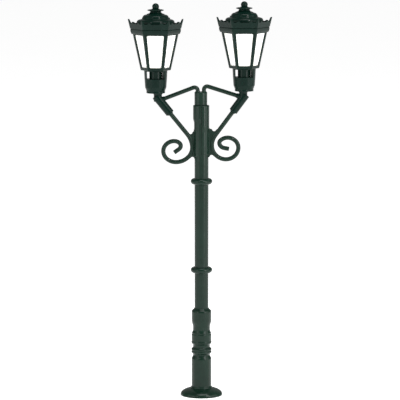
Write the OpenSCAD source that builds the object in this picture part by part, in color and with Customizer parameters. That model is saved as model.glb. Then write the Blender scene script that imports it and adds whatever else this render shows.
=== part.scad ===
// Double park lamp for a model railway: a round mast on a turned pedestal and a domed foot,
// two curled brackets, and a six-sided lantern with a lift-off roof on each.
// Millimetres. The origin is the centre of the foot's underside and +Z runs up the mast.
// The front faces -Y, the left lantern stands at -X and the right lantern at +X.

/* [Foot] */
// Radius of the domed foot
foot_r = 3.28; // [2.6:0.01:4.0]
// Height the dome would reach on the axis
foot_h = 1.26; // [1.1:0.02:1.8]
// Fullness of the dome, 2 is an ellipse
foot_fullness = 2.2; // [1.8:0.1:3.0]
// Radius of the lead outlet in the underside
outlet_r = 1.21; // [1.0:0.01:1.4]
// Depth of the lead outlet
outlet_depth = 0.86; // [0.3:0.02:1.0]
// Radius of the recess in the foot that the pedestal's boss stands in
recess_r = 1.56; // [1.4:0.01:1.65]

/* [Pedestal] */
// Radius of the collar that stands on the foot
collar_r = 1.7; // [1.6:0.02:2.0]
// Radius of the lower column
column_r = 1.54; // [1.4:0.01:1.7]
// Radius at the bottom of the grooves
groove_r = 1.33; // [1.2:0.01:1.45]
// Radius of the double bead
bead_r = 1.575; // [1.5:0.005:1.7]
// Radius of the upper cylinder
upper_r = 1.53; // [1.4:0.01:1.7]
// Height where the lower column ends
column_top = 5.66; // [4.5:0.02:7.0]
// Height of the double bead's middle
bead_z = 7.0; // [6.5:0.05:8.0]
// Height of the half-round moulding under the band
torus_z = 8.32; // [8.0:0.02:9.0]
// Height where the band ends
band_top = 9.43; // [9.0:0.01:10.0]
// Height of the neck's middle
neck_z = 10.5; // [10.2:0.05:11.0]
// Height where the upper cylinder ends
upper_top = 13.08; // [12.5:0.02:14.0]
// Height of the whole pedestal
pedestal_top = 13.68; // [13.2:0.02:15.0]

/* [Mast] */
// Radius of the mast tube
mast_r = 1.08; // [0.9:0.01:1.3]
// Bore radius of the mast tube
mast_bore = 0.84; // [0.6:0.01:0.9]
// Height of the mast tube's upper end
mast_top = 45.12; // [40:0.5:52]
// Depth of the pedestal's seat for the mast tube, above the underside
mast_seat = 3.0; // [2:0.1:5]
// Height of the lower ring's middle
ring_low_z = 19.6; // [16:0.1:24]
// Height of the upper ring's middle
ring_high_z = 33.35; // [28:0.1:36]
// Largest radius of a ring
ring_r = 1.67; // [1.4:0.01:2.0]
// Radius of a ring's rounding
ring_round = 0.45; // [0.3:0.01:0.55]
// Radius of the cap on the mast
cap_r = 0.98; // [0.8:0.01:1.1]
// Height of the cap's upper end
cap_top = 47.16; // [46:0.02:49]
// The cap and the two leads stand this far to the right of the mast's axis
cap_shift = -0.1; // [-0.2:0.01:0.2]

/* [Brackets] */
// Radius of the round bar of the arms and scrolls
bar_r = 0.34; // [0.25:0.01:0.4]
// Outer radius of the left half sleeve on the mast
sleeve_r_left = 1.3; // [1.2:0.01:1.5]
// Outer radius of the right half sleeve on the mast
sleeve_r_right = 1.2; // [1.16:0.01:1.5]
// Height where the left half sleeve narrows to its skirt
sleeve_low_left = 42.4; // [41:0.1:44]
// Height where the right half sleeve narrows to its skirt
sleeve_low_right = 41.0; // [41:0.1:44]
// Outer radius of the thin skirt below the half sleeves
skirt_r = 1.15; // [1.11:0.01:1.25]
// Thickness of the web between bar and sleeve
web_t = 0.44; // [0.3:0.02:0.6]
// Radius of the web's rounded notches
notch_r = 0.3; // [0.2:0.02:0.5]
// Distances of the left web's lower and upper notches from the mast's axis
notch_x_left = [1.4, 1.69]; // [1.2:0.01:2.2]
// Distances of the right web's lower and upper notches from the mast's axis
notch_x_right = [1.55, 1.93]; // [1.2:0.01:2.2]
// Heights of the left web's lower and upper ends
web_z_left = [36.83, 40.92]; // [36:0.01:43]
// Heights of the right web's lower and upper ends
web_z_right = [37.14, 41.38]; // [36:0.01:43]
// Lean of the left arm from upright
lean_left = 39.1; // [30:0.1:50]
// Lean of the right arm from upright
lean_right = 36.5; // [30:0.1:50]
// Distance of the left bar from the mast's axis where it runs upright
bar_x_left = 1.42; // [1.3:0.01:2.0]
// Distance of the right bar from the mast's axis where it runs upright
bar_x_right = 1.59; // [1.3:0.01:2.0]
// Height where the left bar runs upright
bar_z_left = 38.55; // [37:0.05:40]
// Height where the right bar runs upright
bar_z_right = 38.87; // [37:0.05:40]
// Radius of the left arm's bend beside the mast
bend_left = 3.23; // [2:0.01:4]
// Radius of the right arm's bend beside the mast
bend_right = 2.69; // [2:0.01:4]
// Radii of the left scroll, one for each eighth of a turn
scroll_left = [2.02, 2.74, 2.08, 1.54, 1.48, 1.78, 1.23, 0.52]; // [0.4:0.01:3.0]
// Radii of the right scroll, one for each eighth of a turn
scroll_right = [2.07, 2.22, 1.96, 1.74, 1.48, 1.73, 1.66, 0.42]; // [0.4:0.01:3.0]
// Radius of the last turn of the left scroll
tail_r_left = 0.63; // [0.4:0.01:1.2]
// Radius of the last turn of the right scroll
tail_r_right = 0.82; // [0.4:0.01:1.2]
// Angle of the last turn of the left scroll
tail_turn_left = 55; // [30:1:100]
// Angle of the last turn of the right scroll
tail_turn_right = 80; // [30:1:100]
// Length of the left scroll's straight tip
tip_left = 0.86; // [0.3:0.02:1.5]
// Length of the right scroll's straight tip
tip_right = 0.78; // [0.3:0.02:1.5]

/* [Leads] */
// Outer radius of a lead tube
lead_r = 0.32; // [0.2:0.01:0.4]
// Bore radius of a lead tube
lead_bore = 0.18; // [0.12:0.01:0.25]
// Radius of an insulated wire
wire_r = 0.14; // [0.08:0.01:0.18]
// Half the distance between the two leads
lead_half = 0.47; // [0.4:0.01:0.55]
// Centreline radius of a lead tube's bend
lead_bend = 0.5; // [0.4:0.02:1.0]
// Height of the left bend's centre
lead_z_left = 47.32; // [46.5:0.02:49]
// Height of the right bend's centre
lead_z_right = 47.48; // [46.5:0.02:49]
// Angle at which the left lead tube falls
lead_dip_left = 20.9; // [10:0.1:30]
// Angle at which the right lead tube falls
lead_dip_right = 17.6; // [10:0.1:30]

/* [Elbows] */
// Radius of the angled sleeve over the arm's end
elbow_r = 0.67; // [0.5:0.01:0.8]
// Length of the left angled sleeve
elbow_len_left = 3.46; // [2.5:0.02:4.5]
// Length of the right angled sleeve
elbow_len_right = 3.24; // [2.5:0.02:4.5]
// Distance of the left sleeve's lower end from the mast's axis
elbow_x_left = 4.8; // [4:0.05:6]
// Distance of the right sleeve's lower end from the mast's axis
elbow_x_right = 4.84; // [4:0.05:6]
// Radius of the upright neck
neck_r = 0.63; // [0.5:0.01:0.75]
// Distance of the left neck from the mast's axis
neck_x_left = 6.68; // [6:0.02:8]
// Distance of the right neck from the mast's axis
neck_x_right = 6.38; // [6:0.02:8]

/* [Lantern] */
// Distance of the left lantern from the mast's axis
lantern_x_left = 7.0; // [6:0.02:8]
// Distance of the right lantern from the mast's axis
lantern_x_right = 6.52; // [6:0.02:8]
// Height of the left holder's underside
lantern_z_left = 46.95; // [45:0.05:50]
// Height of the right holder's underside
lantern_z_right = 47.26; // [45:0.05:50]
// Radius of the holder's foot ring
holder_foot_r = 1.44; // [1.2:0.02:1.6]
// Radius of the holder's top
holder_r = 1.79; // [1.5:0.01:1.9]
// Height of the holder's solid cup
cup_h = 2.18; // [1.5:0.02:2.4]
// Height of the holder
holder_h = 3.5; // [3:0.02:4]
// Thickness of the holder's top plate
top_plate = 0.14; // [0.1:0.01:0.2]
// Half the width of the openings through the holder
window_half = 1.36; // [1.1:0.01:1.45]
// Radius of the socket core
core_r = 0.98; // [0.8:0.01:1.1]
// Radius of the lamp
lamp_r = 0.72; // [0.5:0.01:0.78]
// Corner radius of the cage at its sill
cage_low_r = 2.4; // [2:0.01:3]
// Corner radius of the cage at its top
cage_top_r = 3.5; // [3:0.01:4.2]
// Wall thickness of the cage
cage_t = 0.2; // [0.15:0.01:0.3]
// Height of the sill above the holder's underside
sill_h = 3.96; // [3.7:0.02:4.4]
// Height of the windows' upper edge
window_top = 8.92; // [8:0.02:8.95]
// Height of the cage
cage_top = 9.05; // [8.5:0.05:10]
// Width of a corner post on each face at the sill
post_low = 0.34; // [0.2:0.01:0.5]
// Width of a corner post on each face at its top
post_high = 0.43; // [0.2:0.01:0.6]
// Radius of the windows' corners
pane_corner = 0.14; // [0.1:0.01:0.3]
// Wall thickness of the glazing
glass_t = 0.3; // [0.2:0.02:0.4]

/* [Roof] */
// Corner radius of the cornice at its lower edge
cornice_low_r = 3.67; // [3.55:0.01:4.2]
// Corner radius of the cornice under the groove
cornice_mid_r = 3.88; // [3.7:0.01:4.4]
// Corner radius of the crest's rim
crest_r = 4.09; // [3.9:0.01:4.6]
// Corner radius at the tips of the spikes
spike_r = 4.26; // [4:0.01:4.8]
// Height of the cornice's deck above the holder's underside
deck_h = 10.3; // [9.8:0.05:10.6]
// Height of the crest's rim
crest_h = 10.63; // [10.4:0.01:11]
// Height of the spikes' tips
spike_h = 11.32; // [11:0.02:12]
// Radius of the lower roof tier
tier_low_r = 2.92; // [2.6:0.02:3.2]
// Radius of the upper roof tier
tier_high_r = 2.1; // [1.8:0.02:2.4]
// Radius of the vent's neck
vent_r = 0.9; // [0.7:0.01:1.1]
// Radius of the vent's hat
hat_r = 1.27; // [1.0:0.01:1.5]
// Radius of the finial's ball
ball_r = 0.53; // [0.4:0.01:0.7]
// Radius of the finial's stem
finial_stem_r = 0.25; // [0.15:0.01:0.35]
// Height of the ball's centre
ball_h = 13.2; // [12.9:0.02:14]

/* [Hidden] */

round_fn = 64;
gap = 0.01;
eps = 0.02;
// A bar is built from pieces that lap by this much, and every other piece is this much thicker.
lap = 0.03;
swell = 0.006;
dark_green = [0.10, 0.15, 0.13];
brass = [0.72, 0.58, 0.30];
insulator = [0.16, 0.16, 0.17];
milky = [0.96, 0.96, 0.93];

// Where the pedestal's collar stands on the dome, above the dome's narrow upright rim.
rim_h = 0.04;
seat_angle = acos(pow(collar_r / foot_r, foot_fullness / 2));
function dome_z(a) = rim_h + (foot_h - rim_h) * pow(sin(a), 2 / foot_fullness);
seat_z = dome_z(seat_angle);

// How far an arm reaches sideways into its elbow.
arm_grip = 0.75;
// Distance of each lead from the mast's axis, and how far its tube ends short of the neck's axis.
x_left = lead_half - cap_shift;
x_right = lead_half + cap_shift;
lead_stop_left = 0.55;
lead_stop_right = 0.45;
// Depths of the lead tubes' seats in the cap and of the cap's plug in the mast.
lead_seat = 1.5;
cap_plug = 1.5;
bush_h = 1.6;
// Depth of the neck's socket in the holder, and how far the wires end below the cup's top.
neck_socket = 0.9;
wire_stop = 0.05;
// Height of the openings through the holder.
opening_h = holder_h - cup_h - top_plate;
contact_w = 0.48;
// Depth of the lamp's seat in the core, and the room round the lamp in the holder and the cage.
lamp_seat = 0.5;
lamp_room = 0.06;
// Height of the cage's floor, and the room between the cage and its glazing.
cage_floor = sill_h - 0.2;
pane_gap = 0.02;
// The thin spigot under the cornice, which stands loosely inside the glazing.
spigot_low = cage_top - 0.75;
spigot_r = flat(cage_r(spigot_low)) - cage_t - pane_gap - glass_t - 0.07;
spigot_bore = spigot_r - 0.15;
// Heights where the roof, the vent and the finial's stem stand, and the hole for the vent's tenon.
roof_h = 2.0;
roof_base = deck_h + gap;
vent_base = roof_base + roof_h + eps;
stem_base = vent_base + 0.1;
tenon_hole_r = 0.42;

// Points on a smooth step from one turned radius to another, as [radius, height].
function ease(from, to, n = 7) = [
    for (i = [0 : n])
        let (t = i / n)
        [from[0] + (to[0] - from[0]) * (1 - cos(180 * t)) / 2, from[1] + (to[1] - from[1]) * t]
];

// Points on a circle's arc.
function arc_points(c, r, from, to, n = 8) = [
    for (i = [0 : n])
        let (a = from + (to - from) * i / n)
        [c[0] + r * cos(a), c[1] + r * sin(a)]
];

function backwards(list) = [for (i = [len(list) - 1 : -1 : 0]) list[i]];

// Distance from the axis to a hexagon's flat side, from its corner radius.
function flat(corner) = corner * cos(30);

// Heading and place along a path of left turns, each given as [radius, angle].
function heading_at(turns, start, i) =
    i == 0 ? start : heading_at(turns, start, i - 1) + turns[i - 1][1];
function place_at(turns, from, start, i) =
    i == 0 ? from :
    let (p = place_at(turns, from, start, i - 1))
    let (h = heading_at(turns, start, i - 1))
    let (r = turns[i - 1][0])
    let (a = turns[i - 1][1])
    [p[0] + r * (sin(h + a) - sin(h)), p[1] - r * (cos(h + a) - cos(h))];

// ---- shared shapes ----

// A piece of round bar that bends about c in the upright plane, with lap added at both ends.
module bent_bar(c, r, from, turn, bar, lap = 0) {
    more = lap / r * 180 / PI;
    translate([c[0], 0, c[1]])
        rotate([90, 0, 0])
            rotate([0, 0, from - more])
                rotate_extrude(angle = turn + 2 * more, $fn = round_fn)
                    translate([r, 0])
                        circle(r = bar, $fn = round_fn);
}

// A piece of straight round bar in the upright plane.
module straight_bar(from, heading, length, bar, lap = 0) {
    translate([from[0] - lap * cos(heading), 0, from[1] - lap * sin(heading)])
        rotate([0, 90 - heading, 0])
            cylinder(h = length + lap, r = bar, $fn = round_fn);
}

// A turned piece from its outline of [radius, height] points.
module turned(outline) {
    rotate_extrude($fn = round_fn)
        polygon(outline);
}

// A six-sided piece whose flat sides follow a list of [flat distance, height] points.
module six_sided(sides) {
    other = [for (p = backwards(sides)) [-p[0], p[1]]];
    intersection_for (a = [30, 90, 150])
        rotate([0, 0, a])
            rotate([90, 0, 0])
                linear_extrude(height = 12, center = true)
                    polygon(concat(sides, other));
}

module right_side() {
    children();
}

module left_side() {
    rotate([0, 0, 180])
        children();
}

module at_left_lantern() {
    translate([-lantern_x_left, 0, lantern_z_left])
        children();
}

module at_right_lantern() {
    translate([lantern_x_right, 0, lantern_z_right])
        children();
}

// ---- foot, pedestal and mast ----

module foot() {
    steps = 14;
    color(dark_green)
        turned(concat(
            [[outlet_r, 0], [foot_r - 0.03, 0]],
            [for (i = [0 : steps])
                let (a = seat_angle * i / steps)
                [foot_r * pow(cos(a), 2 / foot_fullness), dome_z(a)]],
            [[recess_r, seat_z], [recess_r, outlet_depth], [outlet_r, outlet_depth]]
        ));
}

module pedestal() {
    base = seat_z + gap;
    boss_r = recess_r - gap;
    boss_z = outlet_depth + gap;
    color(dark_green)
        difference() {
            turned(concat(
                [[0, boss_z], [boss_r, boss_z], [boss_r, base], [collar_r, base]],
                ease([collar_r, base + 0.05], [column_r, base + 0.34]),
                ease([column_r, column_top], [groove_r, bead_z - 0.68]),
                ease([groove_r, bead_z - 0.64], [bead_r, bead_z - 0.24]),
                arc_points([bead_r, bead_z], 0.07, -90, -180, 3),
                arc_points([bead_r, bead_z], 0.07, 180, 90, 3),
                ease([bead_r, bead_z + 0.24], [groove_r, bead_z + 0.56]),
                ease([groove_r, torus_z - 0.48], [column_r + 0.04, torus_z - 0.06]),
                ease([column_r + 0.04, torus_z + 0.04], [column_r + 0.005, torus_z + 0.18], 4),
                [[column_r, band_top], [column_r + 0.02, band_top + 0.01]],
                [[column_r + 0.02, band_top + 0.08], [column_r - 0.04, band_top + 0.11]],
                [[column_r - 0.06, band_top + 0.3]],
                [[column_r - 0.05, band_top + 0.32], [column_r - 0.05, band_top + 0.4]],
                ease([column_r - 0.1, band_top + 0.43], [groove_r, neck_z - 0.25], 4),
                ease([groove_r, neck_z + 0.15], [upper_r, neck_z + 1.25], 9),
                [[upper_r, upper_top]],
                ease([upper_r - 0.02, upper_top + 0.1], [mast_r + 0.04, pedestal_top], 6),
                [[0, pedestal_top]]
            ));
            translate([0, 0, mast_seat])
                cylinder(h = pedestal_top, r = mast_r + gap, $fn = round_fn);
            cylinder(h = pedestal_top, r = mast_bore, $fn = round_fn);
        }
}

module mast_tube() {
    color(dark_green)
        translate([0, 0, mast_seat + gap])
            difference() {
                cylinder(h = mast_top - mast_seat - gap, r = mast_r, $fn = round_fn);
                translate([0, 0, -1])
                    cylinder(h = mast_top, r = mast_bore, $fn = round_fn);
            }
}

module ring(z) {
    color(dark_green)
        translate([0, 0, z])
            difference() {
                rotate_extrude($fn = round_fn)
                    translate([ring_r - ring_round, 0])
                        circle(r = ring_round, $fn = round_fn);
                cylinder(h = 2, r = mast_r + gap, center = true, $fn = round_fn);
            }
}

module ring_lower() {
    ring(ring_low_z);
}

module ring_upper() {
    ring(ring_high_z);
}

module lead_holes(r, from, height) {
    for (side = [-1, 1])
        translate([cap_shift + side * lead_half, 0, from])
            cylinder(h = height, r = r, $fn = round_fn);
}

module mast_cap() {
    color(dark_green)
        difference() {
            union() {
                translate([cap_shift, 0, mast_top + gap])
                    cylinder(h = cap_top - mast_top - 0.08 - gap, r = cap_r, $fn = round_fn);
                translate([cap_shift, 0, cap_top - 0.08])
                    cylinder(h = 0.08, r1 = cap_r, r2 = cap_r - 0.08, $fn = round_fn);
                translate([0, 0, mast_top - cap_plug])
                    cylinder(h = cap_plug + 0.1, r = mast_bore - gap, $fn = round_fn);
            }
            lead_holes(lead_r + gap, cap_top - lead_seat, lead_seat + 0.5);
            lead_holes(wire_r + eps, mast_top - 2, 3);
        }
}

module foot_bush() {
    color(insulator)
        difference() {
            translate([0, 0, outlet_depth + gap])
                cylinder(h = bush_h, r = mast_bore - gap, $fn = round_fn);
            lead_holes(wire_r + eps, 0, 3);
        }
}

// ---- brackets, built towards +X ----

module bracket(bar_x, bar_z, lean, bend, scroll, tail_r, tail_turn, tip, arm_end_x,
    notch_x, web_z, sleeve_r, sleeve_low) {
    turns = concat([for (r = scroll) [r, 45]], [[tail_r, tail_turn]]);
    bend_c = [bar_x + bend, bar_z];
    bend_start = [bend_c[0] - bend * cos(lean), bar_z + bend * sin(lean)];
    web_c = [bar_x + scroll[0], bar_z];
    web_low = web_z[0];
    web_high = web_z[1];
    web_turn = asin(min(1, (bar_z - web_low) / scroll[0]));
    arm = (arm_end_x - bend_start[0]) / sin(lean);
    tip_start = place_at(turns, [bar_x, bar_z], -90, len(turns));
    straight_bar(bend_start, 90 - lean, arm, bar_r, lap);
    bent_bar(bend_c, bend, 180 - lean, lean, bar_r + swell);
    for (i = [0 : len(turns) - 1]) {
        h = heading_at(turns, -90, i);
        p = place_at(turns, [bar_x, bar_z], -90, i);
        r = turns[i][0];
        thick = i % 2;
        bent_bar([p[0] - r * sin(h), p[1] + r * cos(h)], r, h - 90, turns[i][1],
            bar_r + thick * swell, (1 - thick) * lap);
    }
    straight_bar(tip_start, heading_at(turns, -90, len(turns)), tip, bar_r + swell);
    difference() {
        union() {
            rotate([90, 0, 0])
                linear_extrude(height = web_t, center = true)
                    difference() {
                        polygon(concat(
                            [[0.6, web_low], [0.6, web_high]],
                            [[bend_start[0] + (web_high - bend_start[1]) * tan(lean), web_high]],
                            arc_points(bend_c, bend, 180 - lean, 180, 5),
                            arc_points(web_c, scroll[0], 180, 180 + web_turn, 6)
                        ));
                        translate([notch_x[0], web_low])
                            circle(r = notch_r, $fn = round_fn);
                        translate([notch_x[1], web_high])
                            circle(r = notch_r, $fn = round_fn);
                    }
            intersection() {
                turned([
                    [0.5, web_low + 0.35],
                    [skirt_r, web_low + 0.35],
                    [skirt_r, sleeve_low],
                    [sleeve_r, sleeve_low + 0.6],
                    [sleeve_r, mast_top],
                    [0.5, mast_top]
                ]);
                translate([gap, -2, 0])
                    cube([4, 4, 60]);
            }
        }
        cylinder(h = 60, r = mast_r + gap, $fn = round_fn);
    }
}

module bracket_left() {
    color(dark_green)
        left_side()
            bracket(bar_x_left, bar_z_left, lean_left, bend_left, scroll_left, tail_r_left, tail_turn_left,
                tip_left, elbow_x_left + arm_grip, notch_x_left, web_z_left, sleeve_r_left, sleeve_low_left);
}

module bracket_right() {
    color(dark_green)
        right_side()
            bracket(bar_x_right, bar_z_right, lean_right, bend_right, scroll_right, tail_r_right,
                tail_turn_right, tip_right, elbow_x_right + arm_grip, notch_x_right, web_z_right,
                sleeve_r_right, sleeve_low_right);
}

// ---- leads, built towards +X ----

module lead_path(x, z, dip, start_z, end_x, r) {
    c = [x + lead_bend, z];
    bend_end = [c[0] + lead_bend * sin(dip), c[1] + lead_bend * cos(dip)];
    straight_bar([x, start_z], 90, z - start_z + lap, r);
    bent_bar(c, lead_bend, 90 - dip, 90 + dip, r + swell);
    straight_bar(bend_end, -dip, (end_x - bend_end[0]) / cos(dip), r, lap);
}

// The straight part of a lead's path near the lantern.
module lead_end_bar(x, z, dip, from_x, end_x, r) {
    straight_bar([from_x, lead_height(x, z, dip, from_x)], -dip, (end_x - from_x) / cos(dip), r);
}

// Height of a lead's centreline at a distance from the mast's axis.
function lead_height(x, z, dip, at) =
    z + lead_bend * cos(dip) - (at - x - lead_bend - lead_bend * sin(dip)) * tan(dip);

module lead_tube(x, z, dip, end_x) {
    color(dark_green)
        difference() {
            lead_path(x, z, dip, cap_top - lead_seat + eps, end_x, lead_r);
            lead_path(x, z, dip, cap_top - 2, end_x + 1, lead_bore);
        }
}

module wire(x, z, dip, neck_x, up_to) {
    turn_z = lead_height(x, z, dip, neck_x);
    color(brass) {
        lead_path(x, z, dip, outlet_depth + gap, neck_x, wire_r);
        translate([neck_x, 0, turn_z])
            sphere(r = wire_r + swell, $fn = round_fn);
        straight_bar([neck_x, turn_z], 90, up_to - turn_z, wire_r);
    }
}

module lead_tube_left() {
    left_side()
        lead_tube(x_left, lead_z_left, lead_dip_left, neck_x_left - lead_stop_left);
}

module lead_tube_right() {
    right_side()
        lead_tube(x_right, lead_z_right, lead_dip_right, neck_x_right - lead_stop_right);
}

module wire_left() {
    left_side()
        wire(x_left, lead_z_left, lead_dip_left, neck_x_left, lantern_z_left + cup_h - wire_stop);
}

module wire_right() {
    right_side()
        wire(x_right, lead_z_right, lead_dip_right, neck_x_right, lantern_z_right + cup_h - wire_stop);
}

// ---- elbows, built towards +X ----

module elbow(lean, low_x, low_z, length, neck_x, holder_z, x, z, dip, lead_end) {
    collar_out = 0.16;
    hole_out = 0.4;
    hole_in = 1.35;
    turn_z = lead_height(x, z, dip, neck_x);
    low = [low_x, low_z];
    color(dark_green)
        difference() {
            union() {
                straight_bar(low, 90 - lean, length, elbow_r);
                straight_bar([low_x - collar_out * sin(lean), low_z - collar_out * cos(lean)], 90 - lean,
                    collar_out + 0.24, bar_r + 0.12);
                straight_bar([neck_x, turn_z], 90, holder_z + neck_socket - turn_z, neck_r);
                translate([neck_x, 0, holder_z - 0.22])
                    cylinder(h = 0.2, r1 = neck_r, r2 = neck_r + 0.16, $fn = round_fn);
            }
            straight_bar([low_x - hole_out * sin(lean), low_z - hole_out * cos(lean)], 90 - lean,
                hole_out + hole_in, bar_r + gap);
            lead_end_bar(x, z, dip, neck_x - 2.2, lead_end + gap, lead_r + gap);
            lead_end_bar(x, z, dip, lead_end - 0.2, neck_x, wire_r + eps);
            translate([neck_x, 0, turn_z])
                sphere(r = wire_r + eps + swell, $fn = round_fn);
            straight_bar([neck_x, turn_z], 90, 3, wire_r + eps);
        }
}

// Height of an arm's centreline at a distance from the mast's axis.
function arm_height(bar_x, bar_z, lean, bend, at) =
    bar_z + bend * sin(lean) + (at - bar_x - bend * (1 - cos(lean))) / tan(lean);

module elbow_left() {
    low_z = arm_height(bar_x_left, bar_z_left, lean_left, bend_left, elbow_x_left);
    left_side()
        elbow(lean_left, elbow_x_left, low_z, elbow_len_left, neck_x_left, lantern_z_left,
            x_left, lead_z_left, lead_dip_left, neck_x_left - lead_stop_left);
}

module elbow_right() {
    low_z = arm_height(bar_x_right, bar_z_right, lean_right, bend_right, elbow_x_right);
    right_side()
        elbow(lean_right, elbow_x_right, low_z, elbow_len_right, neck_x_right, lantern_z_right,
            x_right, lead_z_right, lead_dip_right, neck_x_right - lead_stop_right);
}

// ---- lantern pieces, each about its own axis with the holder's underside at zero ----

module holder(neck_dx) {
    color(dark_green)
        difference() {
            turned(concat(
                [[0, 0], [holder_foot_r - 0.04, 0], [holder_foot_r, 0.04], [holder_foot_r, 0.24]],
                [[holder_foot_r - 0.03, 0.28], [holder_foot_r, 0.36]],
                ease([holder_foot_r + 0.04, 0.44], [holder_r - 0.15, 0.95], 5),
                [[holder_r - 0.09, cup_h - 0.3], [holder_r - 0.04, cup_h + 0.3]],
                [[holder_r, holder_h], [0, holder_h]]
            ));
            translate([-window_half, -3, cup_h])
                cube([2 * window_half, 6, opening_h]);
            translate([0, 0, cup_h])
                cylinder(h = 3, r = lamp_r + lamp_room, $fn = round_fn);
            translate([neck_dx, 0, -1])
                cylinder(h = 1 + neck_socket + gap, r = neck_r + gap, $fn = round_fn);
            translate([neck_dx, 0, -0.01])
                cylinder(h = 0.05, r = neck_r + 0.2, $fn = round_fn);
            translate([neck_dx, 0, 0])
                cylinder(h = 3, r = wire_r + eps, $fn = round_fn);
        }
}

module core() {
    color(insulator)
        difference() {
            translate([0, 0, cup_h + gap])
                cylinder(h = opening_h - 2 * gap, r = core_r, $fn = round_fn);
            translate([0, 0, holder_h - lamp_seat])
                cylinder(h = 1, r = lamp_r + gap, $fn = round_fn);
        }
}

module contact() {
    color(brass)
        translate([core_r + gap, -contact_w / 2, cup_h + gap])
            cube([window_half - core_r - 2 * gap, contact_w, opening_h - 2 * gap]);
}

module lamp() {
    stem = 1.7;
    color(milky)
        translate([0, 0, holder_h - lamp_seat + gap])
            union() {
                cylinder(h = stem, r = lamp_r, $fn = round_fn);
                translate([0, 0, stem])
                    sphere(r = lamp_r, $fn = round_fn);
            }
}

// Corner radius of the cage's outside at a height.
function cage_r(h) = cage_low_r + (cage_top_r - cage_low_r) * (h - sill_h) / (cage_top - sill_h);
function cage_wall(h, inset) = [flat(cage_r(h)) - inset, h];

module window_shape() {
    corner = pane_corner;
    low = cage_r(sill_h) / 2 - post_low;
    high = cage_r(window_top) / 2 - post_high;
    slope = atan((high - low) / (window_top - sill_h));
    inner_low = low - corner / cos(slope) + corner * tan(slope);
    inner_high = high - corner / cos(slope) - corner * tan(slope);
    polygon(concat(
        arc_points([inner_low, sill_h + corner], corner, -90, -slope, 6),
        arc_points([inner_high, window_top - corner], corner, -slope, 90, 6),
        arc_points([-inner_high, window_top - corner], corner, 90, 180 + slope, 6),
        arc_points([-inner_low, sill_h + corner], corner, 180 + slope, 270, 6)
    ));
}

module cage() {
    color(dark_green)
        difference() {
            six_sided([
                [flat(cage_low_r) - 0.13, holder_h],
                [flat(cage_low_r) - 0.06, holder_h + 0.06],
                cage_wall(sill_h, 0),
                cage_wall(cage_top, 0)
            ]);
            six_sided([cage_wall(cage_floor, cage_t), cage_wall(cage_top + 0.5, cage_t)]);
            cylinder(h = 6, r = lamp_r + lamp_room, $fn = round_fn);
            for (a = [0 : 60 : 300])
                rotate([0, 0, a])
                    translate([0, -1, 0])
                        rotate([90, 0, 0])
                            linear_extrude(height = 4)
                                window_shape();
        }
}

module glazing() {
    low = cage_floor + gap;
    high = cage_top - 0.06;
    outside = cage_t + pane_gap;
    inside = outside + glass_t;
    color(milky)
        difference() {
            six_sided([cage_wall(low, outside), cage_wall(high, outside)]);
            six_sided([cage_wall(low - 0.5, inside), cage_wall(high + 0.5, inside)]);
        }
}

module crest_mask() {
    spike_half = 0.42;
    spike_tip = 0.06;
    cylinder(h = crest_h, r = 6, $fn = round_fn);
    for (a = [30 : 60 : 330])
        rotate([0, 0, a])
            for (side = [-1, 1])
                translate([2, side * 0.23 * crest_r, crest_h - 0.1])
                    rotate([0, 90, 0])
                        cylinder(h = 3, r = 0.3, $fn = round_fn);
    for (a = [0 : 60 : 300])
        rotate([90, 0, a + 90])
            translate([0, 0, 2])
                linear_extrude(height = 4)
                    polygon([
                        [-spike_half, crest_h - 0.1], [spike_half, crest_h - 0.1],
                        [spike_tip, spike_h], [-spike_tip, spike_h]
                    ]);
}

module cornice() {
    color(dark_green) {
        difference() {
            intersection() {
                six_sided([
                    [flat(cornice_low_r), cage_top],
                    [flat(cornice_low_r) + 0.05, cage_top + 0.08],
                    [flat(cornice_mid_r) - 0.04, cage_top + 0.34],
                    [flat(cornice_mid_r), cage_top + 0.7],
                    [flat(cornice_mid_r) - 0.06, cage_top + 0.71],
                    [flat(cornice_mid_r) - 0.06, cage_top + 0.79],
                    [flat(cornice_mid_r) + 0.02, cage_top + 0.8],
                    [flat(crest_r), crest_h],
                    [flat(spike_r), spike_h]
                ]);
                crest_mask();
            }
            six_sided([
                [flat(crest_r) - 0.33, deck_h],
                [flat(crest_r) - 0.24, crest_h],
                [flat(spike_r) - 0.2, spike_h + 0.1]
            ]);
            cylinder(h = 20, r = spigot_bore, $fn = round_fn);
        }
        translate([0, 0, spigot_low])
            difference() {
                cylinder(h = cage_top - spigot_low + 0.05, r = spigot_r, $fn = round_fn);
                translate([0, 0, -1])
                    cylinder(h = 3, r = spigot_bore, $fn = round_fn);
            }
    }
}

module roof() {
    base = roof_base;
    inner = spigot_bore - gap;
    color(dark_green)
        turned(concat(
            [[inner - 0.2, base - 0.3], [inner, base - 0.3], [inner, base], [tier_low_r, base]],
            [[tier_low_r, base + 0.4]],
            arc_points([tier_low_r - 0.5, base + 0.44], 0.5, 0, 82, 7),
            [[tier_high_r + 0.05, base + 1.0]],
            [[tier_high_r, base + 1.06], [tier_high_r - 0.03, base + 1.16]],
            arc_points([tier_high_r - 0.6, base + 1.14], 0.53, 12, 70, 6),
            ease([1.42, base + 1.69], [vent_r, base + roof_h], 5),
            [[tenon_hole_r, base + roof_h], [tenon_hole_r, base + 1.5]],
            [[1.2, base + 1.35], [inner - 0.2, base + 0.6]]
        ));
}

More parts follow.
